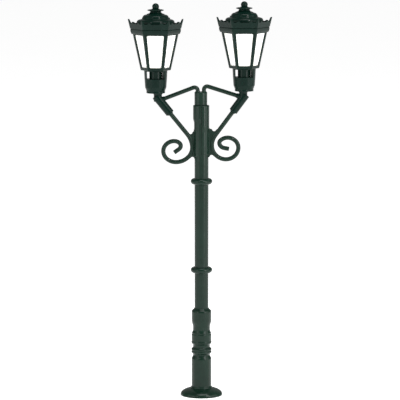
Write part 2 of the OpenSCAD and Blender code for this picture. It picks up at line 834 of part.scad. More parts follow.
module vent() {
    base = vent_base;
    tenon_r = tenon_hole_r - gap;
    stem_hole_r = finial_stem_r + gap;
    color(dark_green)
        difference() {
            turned(concat(
                [[0, base - 0.4], [tenon_r, base - 0.4], [tenon_r, base], [vent_r, base]],
                [[vent_r - 0.03, base + 0.08], [vent_r - 0.07, base + 0.12], [vent_r - 0.03, base + 0.16]],
                [[vent_r - 0.02, base + 0.24], [hat_r - 0.1, base + 0.25]],
                arc_points([hat_r - 0.06, base + 0.35], 0.06, -60, 90, 5),
                ease([hat_r - 0.16, base + 0.43], [0.66, base + 0.52], 4),
                ease([0.58, base + 0.56], [0.4, base + 0.64], 3),
                [[stem_hole_r, base + 0.64], [stem_hole_r, stem_base], [0, stem_base]]
            ));
            translate([0, 0, ball_h])
                sphere(r = ball_r + gap, $fn = round_fn);
        }
}

module finial() {
    color(dark_green)
        union() {
            translate([0, 0, ball_h])
                sphere(r = ball_r, $fn = round_fn);
            translate([0, 0, stem_base + eps])
                cylinder(h = ball_h - stem_base - eps, r = finial_stem_r, $fn = round_fn);
        }
}

module holder_left() {
    at_left_lantern()
        holder(lantern_x_left - neck_x_left);
}

module holder_right() {
    at_right_lantern()
        holder(neck_x_right - lantern_x_right);
}

module core_left() {
    at_left_lantern()
        core();
}

module core_right() {
    at_right_lantern()
        core();
}

module contact_left() {
    at_left_lantern()
        contact();
}

module contact_right() {
    at_right_lantern()
        contact();
}

module lamp_left() {
    at_left_lantern()
        lamp();
}

module lamp_right() {
    at_right_lantern()
        lamp();
}

module cage_left() {
    at_left_lantern()
        cage();
}

module cage_right() {
    at_right_lantern()
        cage();
}

module glazing_left() {
    at_left_lantern()
        glazing();
}

module glazing_right() {
    at_right_lantern()
        glazing();
}

module cornice_left() {
    at_left_lantern()
        cornice();
}

module cornice_right() {
    at_right_lantern()
        cornice();
}

module roof_left() {
    at_left_lantern()
        roof();
}

module roof_right() {
    at_right_lantern()
        roof();
}

module vent_left() {
    at_left_lantern()
        vent();
}

module vent_right() {
    at_right_lantern()
        vent();
}

module finial_left() {
    at_left_lantern()
        finial();
}

module finial_right() {
    at_right_lantern()
        finial();
}

foot();
pedestal();
mast_tube();
ring_lower();
ring_upper();
mast_cap();
foot_bush();
bracket_left();
bracket_right();
lead_tube_left();
lead_tube_right();
wire_left();
wire_right();
elbow_left();
elbow_right();
holder_left();
holder_right();
core_left();
core_right();
contact_left();
contact_right();
lamp_left();
lamp_right();
cage_left();
cage_right();
glazing_left();
glazing_right();
cornice_left();
cornice_right();
roof_left();
roof_right();
vent_left();
vent_right();
finial_left();
finial_right();
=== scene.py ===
import math

import bmesh
import bpy
import numpy as np
from mathutils import Matrix, Vector


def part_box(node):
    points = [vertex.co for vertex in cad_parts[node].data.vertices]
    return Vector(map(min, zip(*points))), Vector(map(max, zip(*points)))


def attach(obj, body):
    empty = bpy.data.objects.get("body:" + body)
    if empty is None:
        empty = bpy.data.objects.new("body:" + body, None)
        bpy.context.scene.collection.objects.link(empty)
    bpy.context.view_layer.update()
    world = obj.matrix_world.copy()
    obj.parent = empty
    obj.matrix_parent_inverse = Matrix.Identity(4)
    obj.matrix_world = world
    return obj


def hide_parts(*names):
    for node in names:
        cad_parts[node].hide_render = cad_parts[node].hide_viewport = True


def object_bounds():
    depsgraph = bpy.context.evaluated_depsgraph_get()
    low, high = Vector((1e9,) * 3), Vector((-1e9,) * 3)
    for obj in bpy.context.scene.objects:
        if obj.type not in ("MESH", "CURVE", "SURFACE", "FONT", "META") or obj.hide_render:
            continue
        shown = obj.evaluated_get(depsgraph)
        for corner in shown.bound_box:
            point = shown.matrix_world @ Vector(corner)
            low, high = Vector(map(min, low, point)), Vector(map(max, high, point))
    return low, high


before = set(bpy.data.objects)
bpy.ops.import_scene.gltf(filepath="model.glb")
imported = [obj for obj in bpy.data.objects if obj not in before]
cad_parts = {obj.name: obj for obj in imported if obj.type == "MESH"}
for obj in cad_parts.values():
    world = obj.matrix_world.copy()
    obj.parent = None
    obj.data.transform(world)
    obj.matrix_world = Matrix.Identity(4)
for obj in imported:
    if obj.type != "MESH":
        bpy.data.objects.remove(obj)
cad_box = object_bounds()
scene = bpy.context.scene

MM = 0.001
ROOT = "lamp"
ROOFS = {"left": "roof_left_body", "right": "roof_right_body"}


# ---- where the CAD pieces are, in millimetres ----

def low(node):
    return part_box(node)[0] / MM


def high(node):
    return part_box(node)[1] / MM


def middle(node):
    return (low(node) + high(node)) / 2


# ---- outlines, as [(radius or distance, height), ...] in millimetres ----

def ease(start, end, n=10):
    """A smooth step from one point to another."""
    steps = [i / n for i in range(n + 1)]
    return [
        (
            start[0] + (end[0] - start[0]) * (1 - math.cos(math.pi * t)) / 2,
            start[1] + (end[1] - start[1]) * t,
        )
        for t in steps
    ]


def arc(centre, r, start, end, n=12):
    """Points on a circle's arc, its angles in degrees."""
    angles = [math.radians(start + (end - start) * i / n) for i in range(n + 1)]
    return [(centre[0] + r * math.cos(a), centre[1] + r * math.sin(a)) for a in angles]


def softened(points, step=0.05, passes=3, closed=False):
    """The outline with even spacing and its corners rounded, as paint rounds them."""
    p = np.array(points, float)
    if closed:
        p = np.vstack([p, p[:1]])
    along = np.concatenate([[0], np.cumsum(np.hypot(*np.diff(p, axis=0).T))])
    keep = np.concatenate([[True], np.diff(along) > 1e-9])
    p, along = p[keep], along[keep]
    count = max(4, int(along[-1] / step))
    at = np.linspace(0, along[-1], count + 1)
    q = np.stack([np.interp(at, along, p[:, k]) for k in range(2)], 1)
    if closed:
        q = q[:-1]
    for _ in range(passes):
        if closed:
            q = (np.roll(q, 1, 0) + 2 * q + np.roll(q, -1, 0)) / 4
        else:
            q[1:-1] = (q[:-2] + 2 * q[1:-1] + q[2:]) / 4
    return [tuple(v) for v in q]


# ---- shapes, as (points, faces) in millimetres ----

def grid(rows, closed_rows, closed_columns=True):
    """Quads between neighbouring rows of points."""
    count = len(rows[0])
    points = [v for row in rows for v in row]
    faces = []
    for i in range(len(rows) if closed_rows else len(rows) - 1):
        for j in range(count if closed_columns else count - 1):
            a, b = i * count + j, i * count + (j + 1) % count
            c, d = (i + 1) % len(rows) * count + (j + 1) % count, (i + 1) % len(rows) * count + j
            faces.append((a, b, c, d))
    return points, faces


def lathe(outline, sides=96, closed=True, centre=(0, 0)):
    """A turned shape about an upright axis."""
    angles = [2 * math.pi * j / sides for j in range(sides)]
    rows = [
        [(centre[0] + r * math.cos(a), centre[1] + r * math.sin(a), z) for a in angles]
        for r, z in outline
    ]
    return grid(rows, closed)


def sector(outline, start, end, sides=48):
    """A part turn of a closed outline, with its two ends filled."""
    angles = [math.radians(start + (end - start) * j / sides) for j in range(sides + 1)]
    rows = [[(r * math.cos(a), r * math.sin(a), z) for a in angles] for r, z in outline]
    points, faces = grid(rows, True, False)
    count = sides + 1
    faces.append(tuple(i * count for i in range(len(rows))))
    faces.append(tuple(i * count + sides for i in reversed(range(len(rows)))))
    return points, faces


def tube(path, radius, sides=28, rounding=0.08):
    """A round bar along a path of (x, z) points in the upright plane, with rounded ends."""
    p = np.array(path, float)
    tangent = np.gradient(p, axis=0)
    tangent /= np.linalg.norm(tangent, axis=1)[:, None]
    rings = []
    steps = 4
    for k in range(steps + 1):
        a = math.pi / 2 * (1 - k / steps)
        rings.append((p[0] - tangent[0] * rounding * math.sin(a), tangent[0],
                      radius - rounding * (1 - math.cos(a))))
    rings += [(p[i], tangent[i], radius) for i in range(1, len(p) - 1)]
    for k in range(steps + 1):
        a = math.pi / 2 * k / steps
        rings.append((p[-1] + tangent[-1] * rounding * math.sin(a), tangent[-1],
                      radius - rounding * (1 - math.cos(a))))
    rows = []
    for centre, t, r in rings:
        normal = (-t[1], t[0])
        row = []
        for j in range(sides):
            a = 2 * math.pi * j / sides
            row.append((centre[0] + normal[0] * r * math.cos(a), r * math.sin(a),
                        centre[1] + normal[1] * r * math.cos(a)))
        rows.append(row)
    points, faces = grid(rows, False)
    last = (len(rows) - 1) * sides
    faces.append(tuple(reversed(range(sides))))
    faces.append(tuple(last + j for j in range(sides)))
    return points, faces


def plate(outline, thickness):
    """A flat plate in the upright plane."""
    half = thickness / 2
    n = len(outline)
    points = [(x, -half, z) for x, z in outline] + [(x, half, z) for x, z in outline]
    faces = [tuple(range(n)), tuple(reversed(range(n, 2 * n)))]
    faces += [(i, i + n, (i + 1) % n + n, (i + 1) % n) for i in range(n)]
    return points, faces


def joined(*shapes):
    points, faces = [], []
    for more_points, more_faces in shapes:
        faces += [tuple(i + len(points) for i in f) for f in more_faces]
        points += more_points
    return points, faces


def moved(shape, x=0.0, z=0.0):
    points, faces = shape
    return [(p[0] + x, p[1], p[2] + z) for p in points], faces


def mirrored(shape):
    """The shape turned half way round the mast."""
    points, faces = shape
    return [(-p[0], -p[1], p[2]) for p in points], faces


def to_mesh(name, shape):
    mesh = bpy.data.meshes.new(name)
    mesh.from_pydata(shape[0], [], shape[1])
    bm = bmesh.new()
    bm.from_mesh(mesh)
    bmesh.ops.remove_doubles(bm, verts=bm.verts, dist=1e-4)
    bmesh.ops.recalc_face_normals(bm, faces=bm.faces)
    bm.to_mesh(mesh)
    bm.free()
    return mesh


def cast(name, shape, voxel=0.035, passes=5, keep=0.5):
    """Overlapping solids as one casting, with its inner corners filled and its edges softened."""
    ob = bpy.data.objects.new(name, to_mesh(name, shape))
    scene.collection.objects.link(ob)
    remesh = ob.modifiers.new("remesh", "REMESH")
    remesh.mode = "VOXEL"
    remesh.voxel_size = voxel
    smooth = ob.modifiers.new("smooth", "SMOOTH")
    smooth.factor = 0.5
    smooth.iterations = passes
    if keep < 1:
        ob.modifiers.new("decimate", "DECIMATE").ratio = keep
    graph = bpy.context.evaluated_depsgraph_get()
    made = bpy.data.meshes.new_from_object(ob.evaluated_get(graph))
    bpy.data.objects.remove(ob)
    return made


def piece(name, made, material, nodes, slot, body=ROOT, bevel=0.0):
    """A finished piece from a shape or mesh in millimetres, standing for its CAD nodes."""
    mesh = made if isinstance(made, bpy.types.Mesh) else to_mesh(name, made)
    mesh.name = name
    mesh.transform(Matrix.Scale(MM, 4))
    mesh.materials.clear()
    mesh.materials.append(material)
    mesh.shade_smooth()
    ob = bpy.data.objects.new(name, mesh)
    scene.collection.objects.link(ob)
    if bevel:
        edge = ob.modifiers.new("edges", "BEVEL")
        edge.width = bevel * MM
        edge.segments = 2
        edge.limit_method = "ANGLE"
        edge.angle_limit = math.radians(25)
        edge.harden_normals = True
        edge.use_clamp_overlap = True
    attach(ob, body)
    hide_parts(*nodes)


# ---- materials ----

def linear(v):
    """One channel of a display colour, 0 to 255, as a shader takes it."""
    return ((v / 255 + 0.055) / 1.055) ** 2.4 if v > 10 else v / 255 / 12.92


def rgb(r, g, b):
    return (linear(r), linear(g), linear(b), 1.0)


def new_material(name):
    mat = bpy.data.materials.new(name)
    mat.use_nodes = True
    tree = mat.node_tree
    return mat, tree, tree.nodes["Principled BSDF"]


def noise(tree, size, detail=3.0, rough=0.5):
    """Noise whose features are about size millimetres across, fixed to the piece."""
    where = tree.nodes.new("ShaderNodeTexCoord")
    tex = tree.nodes.new("ShaderNodeTexNoise")
    tex.inputs["Scale"].default_value = 1 / (size * MM)
    tex.inputs["Detail"].default_value = detail
    tex.inputs["Roughness"].default_value = rough
    tree.links.new(where.outputs["Object"], tex.inputs["Vector"])
    return tex.outputs["Fac"]


def ramp(tree, source, start, end, first, last):
    r = tree.nodes.new("ShaderNodeValToRGB")
    r.color_ramp.elements[0].position = start
    r.color_ramp.elements[0].color = first
    r.color_ramp.elements[1].position = end
    r.color_ramp.elements[1].color = last
    tree.links.new(source, r.inputs["Fac"])
    return r.outputs["Color"]


def span(tree, source, start, end, first, last):
    r = tree.nodes.new("ShaderNodeMapRange")
    for key, value in zip(("From Min", "From Max", "To Min", "To Max"), (start, end, first, last)):
        r.inputs[key].default_value = value
    tree.links.new(source, r.inputs["Value"])
    return r.outputs["Result"]


def mix(tree, factor, a, b):
    m = tree.nodes.new("ShaderNodeMix")
    m.data_type = "RGBA"
    tree.links.new(factor, m.inputs["Factor"])
    for key, value in (("A", a), ("B", b)):
        socket = next(s for s in m.inputs if s.name == key and s.type == "RGBA")
        if isinstance(value, tuple):
            socket.default_value = value
        else:
            tree.links.new(value, socket)
    return next(s for s in m.outputs if s.type == "RGBA")


def bump(tree, height, depth, before=None):
    """A bump depth millimetres high."""
    b = tree.nodes.new("ShaderNodeBump")
    b.inputs["Strength"].default_value = 1.0
    b.inputs["Distance"].default_value = depth * MM
    tree.links.new(height, b.inputs["Height"])
    if before:
        tree.links.new(before, b.inputs["Normal"])
    return b.outputs["Normal"]


COAT_WEIGHT, COAT_ROUGHNESS = 0.05, 0.05


def paint(name, dark, light, wear_and_highlight, gloss, specular):
    """Dark green lacquer: cloudy in colour, a little orange peel, and lighter on the edges, as rubbed
    wear with a painted highlight.
    """
    mat, tree, shader = new_material(name)
    cloud = ramp(tree, noise(tree, 1.6, 4.0, 0.6), 0.3, 0.7, dark, light)
    # Lighter where the surface is pointy: rubbed wear on the edges, and a painted highlight along
    # them.
    edge = tree.nodes.new("ShaderNodeNewGeometry").outputs["Pointiness"]
    speck = noise(tree, 0.12, 2.0)
    wear_and_highlight_mask = tree.nodes.new("ShaderNodeMath")
    wear_and_highlight_mask.operation = "MULTIPLY"
    tree.links.new(span(tree, edge, 0.56, 0.7, 0.0, 0.45), wear_and_highlight_mask.inputs[0])
    tree.links.new(span(tree, speck, 0.3, 0.7, 0.3, 1.0), wear_and_highlight_mask.inputs[1])
    colour = mix(tree, wear_and_highlight_mask.outputs["Value"], cloud, wear_and_highlight)
    tree.links.new(colour, shader.inputs["Base Color"])
    sheen = span(tree, noise(tree, 0.7, 3.0), 0.3, 0.7, gloss[0], gloss[1])
    tree.links.new(sheen, shader.inputs["Roughness"])
    peel = bump(tree, noise(tree, 0.45, 2.0, 0.4), 0.005)
    tree.links.new(bump(tree, noise(tree, 0.1, 2.0), 0.0005, peel), shader.inputs["Normal"])
    shader.inputs["Specular IOR Level"].default_value = specular
    shader.inputs["Coat Weight"].default_value = COAT_WEIGHT
    shader.inputs["Coat Roughness"].default_value = COAT_ROUGHNESS
    return mat


def milk_glass():
    """Milky plastic glazing, a little creamier and dustier in places."""
    mat, tree, shader = new_material("milky_glazing")
    cloud = ramp(tree, noise(tree, 1.1, 4.0, 0.6), 0.3, 0.75, rgb(247, 248, 240), rgb(254, 255, 251))
    tree.links.new(cloud, shader.inputs["Base Color"])
    # The emission makes the glazing glow a little: a painted glow for the light that shines through
    # it.
    tree.links.new(cloud, shader.inputs["Emission Color"])
    tree.links.new(span(tree, noise(tree, 0.5), 0.3, 0.7, 0.24, 0.38), shader.inputs["Roughness"])
    tree.links.new(bump(tree, noise(tree, 0.5, 3.0), 0.004), shader.inputs["Normal"])
    shader.inputs["Emission Strength"].default_value = 0.32
    shader.inputs["Subsurface Weight"].default_value = 0.25
    shader.inputs["Subsurface Radius"].default_value = (0.0006, 0.0006, 0.0005)
    shader.inputs["Subsurface Scale"].default_value = 1.0
    return mat


GRAIN, GRAIN_DEPTH = 0.3, 0.002


def plain(name, dark, light, roughness, metallic=0.0):
    """A finely grained surface that varies a little in colour and gloss."""
    mat, tree, shader = new_material(name)
    tree.links.new(ramp(tree, noise(tree, GRAIN, 4.0), 0.3, 0.7, dark, light),
                   shader.inputs["Base Color"])
    tree.links.new(span(tree, noise(tree, GRAIN * 0.7), 0.3, 0.7, roughness[0], roughness[1]),
                   shader.inputs["Roughness"])
    tree.links.new(bump(tree, noise(tree, GRAIN * 0.4), GRAIN_DEPTH), shader.inputs["Normal"])
    shader.inputs["Metallic"].default_value = metallic
    return mat


GLOSS = (0.18, 0.27)
# Each paint's third colour is its lighter edge colour: rubbed wear, and a painted edge highlight.
metal = paint("green_metal", rgb(8, 30, 21), rgb(14, 38, 28), rgb(56, 72, 64), GLOSS, 0.19)
plastic = paint("green_plastic", rgb(3, 24, 18), rgb(8, 31, 25), rgb(48, 64, 57), GLOSS, 0.09)
milky = milk_glass()
tinned = plain("tinned", rgb(44, 52, 48), rgb(74, 82, 76), (0.3, 0.45), metallic=0.8)
dark_plastic = plain("dark_plastic", rgb(24, 27, 27), rgb(38, 42, 41), (0.3, 0.45))
lamp_glass = plain("lamp_glass", rgb(236, 232, 214), rgb(248, 246, 232), (0.08, 0.16))
cable = plain("cable", rgb(30, 40, 35), rgb(44, 54, 48), (0.4, 0.55))


# ---- the camera and the light ----

camera_data = bpy.data.cameras.new("camera")
camera = bpy.data.objects.new("camera", camera_data)
scene.collection.objects.link(camera)
# A long lens about 0.4 m away, looking slightly down; sensor and lens in millimetres.
camera_data.sensor_width = 36
camera_data.lens = 237.4
camera_data.clip_start = 0.01
camera.location = (-0.00023, -0.4024, 0.0825)
camera.rotation_euler = (math.radians(82.63), 0, 0)
scene.camera = camera
scene.view_settings.view_transform = "Standard"

MIDDLE_OF_LAMP = Vector((0, 0, 0.035))
world = bpy.data.worlds.new("studio")
scene.world = world
world.use_nodes = True
world.node_tree.nodes["Background"].inputs["Color"].default_value = (1, 1, 1, 1)
world.node_tree.nodes["Background"].inputs["Strength"].default_value = 0.28


def softbox(name, place, width, height, power):
    """A rectangular light that faces the middle of the lamp, its sizes in metres."""
    data = bpy.data.lights.new(name, "AREA")
    data.shape = "RECTANGLE"
    data.size = width
    data.size_y = height
    data.energy = power
    ob = bpy.data.objects.new(name, data)
    scene.collection.objects.link(ob)
    ob.location = place
    ob.rotation_euler = (MIDDLE_OF_LAMP - Vector(place)).to_track_quat("-Z", "Y").to_euler()


def beside(azimuth, distance, height):
    """A place at an angle to the right of the camera's side of the object."""
    a = math.radians(azimuth)
    return (distance * math.sin(a), -distance * math.cos(a), height)


softbox("softbox_right", beside(66, 0.17, 0.09), 0.2, 0.17, 0.17)
softbox("softbox_left", beside(-62, 0.17, 0.09), 0.18, 0.17, 0.09)
softbox("strip_right", beside(48, 0.19, 0.085), 0.035, 0.15, 0.1)
softbox("strip_left", beside(-48, 0.19, 0.085), 0.03, 0.12, 0.035)
softbox("softbox_top", (0.03, -0.06, 0.36), 0.2, 0.14, 0.5)
softbox("spark_right", beside(34, 0.2, 0.2), 0.022, 0.022, 0.13)
softbox("spark_left", beside(-30, 0.2, 0.19), 0.024, 0.024, 0.05)

floor_mesh = bpy.data.meshes.new("floor")
floor_mesh.from_pydata([(-6, -6, 0), (6, -6, 0), (6, 12, 0), (-6, 12, 0)], [], [(0, 1, 2, 3)])
floor = bpy.data.objects.new("floor", floor_mesh)
scene.collection.objects.link(floor)
floor_mat, floor_tree, floor_shader = new_material("floor_paper")
paper = ramp(floor_tree, noise(floor_tree, 40.0), 0.2, 0.8, rgb(248, 248, 248), rgb(250, 250, 250))
floor_tree.links.new(paper, floor_shader.inputs["Base Color"])
floor_shader.inputs["Roughness"].default_value = 0.9
floor_shader.inputs["Emission Color"].default_value = (1, 1, 1, 1)
floor_shader.inputs["Emission Strength"].default_value = 0.7
floor_shader.inputs["Specular IOR Level"].default_value = 0.1
floor_mesh.materials.append(floor_mat)
# A hair below the foot, so that the two faces do not fight.
floor.location.z = cad_box[0].z - 0.00002


# ---- foot, pedestal and mast ----

FOOT_R = high("foot").x
SEAT = high("foot").z
OUTLET_R, OUTLET_DEPTH, RECESS_R = 1.21, 0.86, 1.56
COLLAR_R, RIM_H, FULLNESS, GAP = 1.7, 0.04, 2.2, 0.01
foot_angle = math.degrees(math.acos((COLLAR_R / FOOT_R) ** (FULLNESS / 2)))


def dome(a):
    """A point on the foot's dome at an angle in degrees."""
    a = math.radians(a)
    power = 2 / FULLNESS
    top = (SEAT - RIM_H) / math.sin(math.radians(foot_angle)) ** power
    return FOOT_R * math.cos(a) ** power, RIM_H + top * math.sin(a) ** power


foot_outline = [(OUTLET_R, 0), (FOOT_R - 0.03, 0)]
foot_outline += [dome(foot_angle * i / 24) for i in range(25)]
foot_outline += [(RECESS_R, SEAT), (RECESS_R, OUTLET_DEPTH), (OUTLET_R, OUTLET_DEPTH)]
piece("foot_painted", lathe(softened(foot_outline, 0.04, 2, True), 128), metal, ["foot"],
      "green_metal")

COLUMN_R, GROOVE_R, BEAD_R, UPPER_R = 1.54, 1.33, 1.575, 1.53
MAST_R, BORE_R = 1.08, 0.84
COLUMN_TOP, BEAD_Z, TORUS_Z, BAND_TOP, NECK_Z, UPPER_TOP = 5.66, 7.0, 8.32, 9.43, 10.5, 13.08
MAST_SEAT = 3.0
TOP = high("pedestal").z
base = SEAT + GAP
boss_z = low("pedestal").z
pedestal_outline = (
    [(BORE_R, boss_z), (RECESS_R - GAP, boss_z), (RECESS_R - GAP, base), (COLLAR_R, base)]
    + ease((COLLAR_R, base + 0.05), (COLUMN_R, base + 0.34))
    + ease((COLUMN_R, COLUMN_TOP), (GROOVE_R, BEAD_Z - 0.68))
    + ease((GROOVE_R, BEAD_Z - 0.64), (BEAD_R, BEAD_Z - 0.24))
    + arc((BEAD_R, BEAD_Z), 0.07, -90, -180, 5)
    + arc((BEAD_R, BEAD_Z), 0.07, 180, 90, 5)
    + ease((BEAD_R, BEAD_Z + 0.24), (GROOVE_R, BEAD_Z + 0.56))
    + ease((GROOVE_R, TORUS_Z - 0.48), (COLUMN_R + 0.04, TORUS_Z - 0.06))
    + ease((COLUMN_R + 0.04, TORUS_Z + 0.04), (COLUMN_R + 0.005, TORUS_Z + 0.18))
    + [(COLUMN_R, BAND_TOP), (COLUMN_R + 0.02, BAND_TOP + 0.01), (COLUMN_R + 0.02, BAND_TOP + 0.08)]
    + [(COLUMN_R - 0.04, BAND_TOP + 0.11), (COLUMN_R - 0.06, BAND_TOP + 0.3)]
    + [(COLUMN_R - 0.05, BAND_TOP + 0.32), (COLUMN_R - 0.05, BAND_TOP + 0.4)]
    + ease((COLUMN_R - 0.1, BAND_TOP + 0.43), (GROOVE_R, NECK_Z - 0.25))
    + ease((GROOVE_R, NECK_Z + 0.15), (UPPER_R, NECK_Z + 1.25))
    + [(UPPER_R, UPPER_TOP)]
    + ease((UPPER_R - 0.02, UPPER_TOP + 0.1), (MAST_R + 0.04, TOP))
    + [(MAST_R + GAP, TOP), (MAST_R + GAP, MAST_SEAT), (BORE_R, MAST_SEAT)]
)
piece("pedestal_turned", lathe(softened(pedestal_outline, 0.035, 2, True), 112), metal, ["pedestal"],
      "green_metal")

mast_top = high("mast_tube").z
mast_low = low("mast_tube").z
mast_outline = [(BORE_R, mast_low), (MAST_R, mast_low)]
mast_outline += [(MAST_R, mast_low + (mast_top - mast_low) * i / 60) for i in range(1, 61)]
mast_outline += [(BORE_R, mast_top)]
piece("mast_painted", lathe(mast_outline, 96), metal, ["mast_tube"], "green_metal", bevel=0.04)

RING_ROUND = 0.45
for name in ("ring_lower", "ring_upper"):
    z = middle(name).z
    r = high(name).x
    ring = [(MAST_R + GAP, z - 0.4), (MAST_R + 0.08, z - RING_ROUND)]
    ring += arc((r - RING_ROUND, z), RING_ROUND, -90, 90, 20)
    ring += [(MAST_R + 0.08, z + RING_ROUND), (MAST_R + GAP, z + 0.4)]
    piece(name + "_turned", lathe(softened(ring, 0.04, 2, True), 96), metal, [name], "green_metal")

CAP_R, CAP_SHIFT, LEAD_HALF = 0.98, -0.1, 0.47
cap_low, cap_high = mast_top + GAP, high("mast_cap").z
stub_low, stub_high = low("mast_cap").z, cap_low + 0.1
cap = [(0, cap_low), (CAP_R, cap_low), (CAP_R, cap_high - 0.08), (0.9, cap_high), (0, cap_high)]
stub = [(0, stub_low), (BORE_R - GAP, stub_low), (BORE_R - GAP, stub_high), (0, stub_high)]
collars = [
    lathe(arc((0.34, cap_high), 0.06, 0, 360, 16)[:-1], 32, True, (CAP_SHIFT + side * LEAD_HALF, 0))
    for side in (-1, 1)
]
piece("mast_cap_turned", joined(lathe(softened(cap, 0.05, 2), 80, False, (CAP_SHIFT, 0)),
                                lathe(softened(stub, 0.08, 1), 48, False), *collars),
      metal, ["mast_cap"], "green_metal")


# ---- brackets, built towards +X about the mast's axis ----

BAR_R, SKIRT_R, WEB_T, NOTCH_R = 0.34, 1.15, 0.44, 0.3
# Half the turn of a sleeve, a little under a quarter so that the two halves stay apart.
SLEEVE_TURN = 89.4
BRACKETS = {
    "left": dict(
        bar=1.42, lean=39.1, bend=3.23, radii=[2.02, 2.74, 2.08, 1.54, 1.48, 1.78, 1.23, 0.52],
        tail=(0.63, 55), tip=0.86, web=(36.83, 40.92), notch=(1.4, 1.69), sleeve=(1.3, 42.4),
        arm_end=5.55,
    ),
    "right": dict(
        bar=1.59, lean=36.5, bend=2.69, radii=[2.07, 2.22, 1.96, 1.74, 1.48, 1.73, 1.66, 0.42],
        tail=(0.82, 80), tip=0.78, web=(37.14, 41.38), notch=(1.55, 1.93), sleeve=(1.2, 41.0),
        arm_end=5.59,
    ),
}


def bar_path(b):
    """The bar's centreline, from the arm's end down past the mast and round the scroll to its tip,
    with the place where the arm starts, at heights from where the bar runs upright."""
    lean = math.radians(b["lean"])
    start = (b["bar"] + b["bend"] * (1 - math.cos(lean)), b["bend"] * math.sin(lean))
    length = (b["arm_end"] - start[0]) / math.sin(lean)
    path = [
        (start[0] + length * t / 20 * math.sin(lean), start[1] + length * t / 20 * math.cos(lean))
        for t in range(20, -1, -1)
    ]
    path += arc((b["bar"] + b["bend"], 0.0), b["bend"], 180 - b["lean"], 180, 24)[1:]
    heading, x, y = -90.0, b["bar"], 0.0
    for r, turn in [(r, 45) for r in b["radii"]] + [b["tail"]]:
        centre = (x - r * math.sin(math.radians(heading)), y + r * math.cos(math.radians(heading)))
        path += arc(centre, r, heading - 90, heading - 90 + turn, 14)[1:]
        heading += turn
        x, y = path[-1]
    away = (math.cos(math.radians(heading)), math.sin(math.radians(heading)))
    path += [(x + away[0] * b["tip"] * t / 8, y + away[1] * b["tip"] * t / 8) for t in range(1, 9)]
    return softened(path, 0.08, 10), start


arm_starts = {}
for side, b in BRACKETS.items():
    node = "bracket_" + side
    path, start = bar_path(b)
    bar_z = low(node).z + BAR_R - min(z for _, z in path)
    path = [(x, z + bar_z) for x, z in path]
    start = (start[0], start[1] + bar_z)
    arm_starts[side] = start
    lean = math.radians(b["lean"])
    top, bottom = b["web"][1], b["web"][0]
    notch_low, notch_high = b["notch"]
    sleeve_r, sleeve_low = b["sleeve"]
    web = [(1.0, bottom + 0.1), (1.0, top + 0.5)]
    web += [(SKIRT_R + 0.02, top + 0.5), (SKIRT_R + 0.08, top + 0.12)]
    web += arc((notch_high, top), NOTCH_R, 180, 350, 12)
    web += [(start[0] + (top - start[1]) * math.tan(lean), top + 0.05)]
    web += arc((b["bar"] + b["bend"], bar_z), b["bend"], 180 - b["lean"], 180, 8)
    radius = b["radii"][0]
    reach = math.degrees(math.asin((bar_z - bottom) / radius))
    web += arc((b["bar"] + radius, bar_z), radius, 180, 180 + reach, 8)
    web += arc((notch_low, bottom), NOTCH_R, 20, 170, 12)
    web += [(SKIRT_R, bottom - 0.1)]
    sleeve = [(MAST_R + GAP, bottom + 0.35), (SKIRT_R, bottom + 0.35), (SKIRT_R, sleeve_low),
              (sleeve_r, sleeve_low + 0.6), (sleeve_r, mast_top), (MAST_R + GAP, mast_top)]
    shape = joined(tube(path, BAR_R), plate(web, WEB_T),
                   sector(softened(sleeve, 0.2, 0, True), -SLEEVE_TURN, SLEEVE_TURN))
    if side == "left":
        shape = mirrored(shape)
    piece("bracket_%s_cast" % side, cast(node, shape, 0.04, 4, 0.45), metal, [node], "green_metal")


# ---- leads ----

LEAD_R, LEAD_BEND = 0.32, 0.5
# For each side: distance from the axis, fall in degrees, distance of the end, height of the bend.
LEADS = {"left": (0.57, 20.9, 6.13, 47.32), "right": (0.37, 17.6, 5.93, 47.48)}
lead_line = {}
for side, (x, dip, end_x, bend_z) in LEADS.items():
    a = math.radians(dip)
    path = [(x, cap_high - 1.4), (x, bend_z)]
    path += arc((x + LEAD_BEND, bend_z), LEAD_BEND, 180, 90 - dip, 24)[1:]
    s = path[-1]
    lead_line[side] = (s, a)
    path += [(end_x, s[1] - (end_x - s[0]) * math.tan(a))]
    shape = tube(softened(path, 0.06, 3), LEAD_R, 28, 0.04)
    if side == "left":
        shape = mirrored(shape)
    piece("lead_%s_painted" % side, shape, metal, ["lead_tube_" + side], "green_metal")


# ---- elbows, built towards +X ----

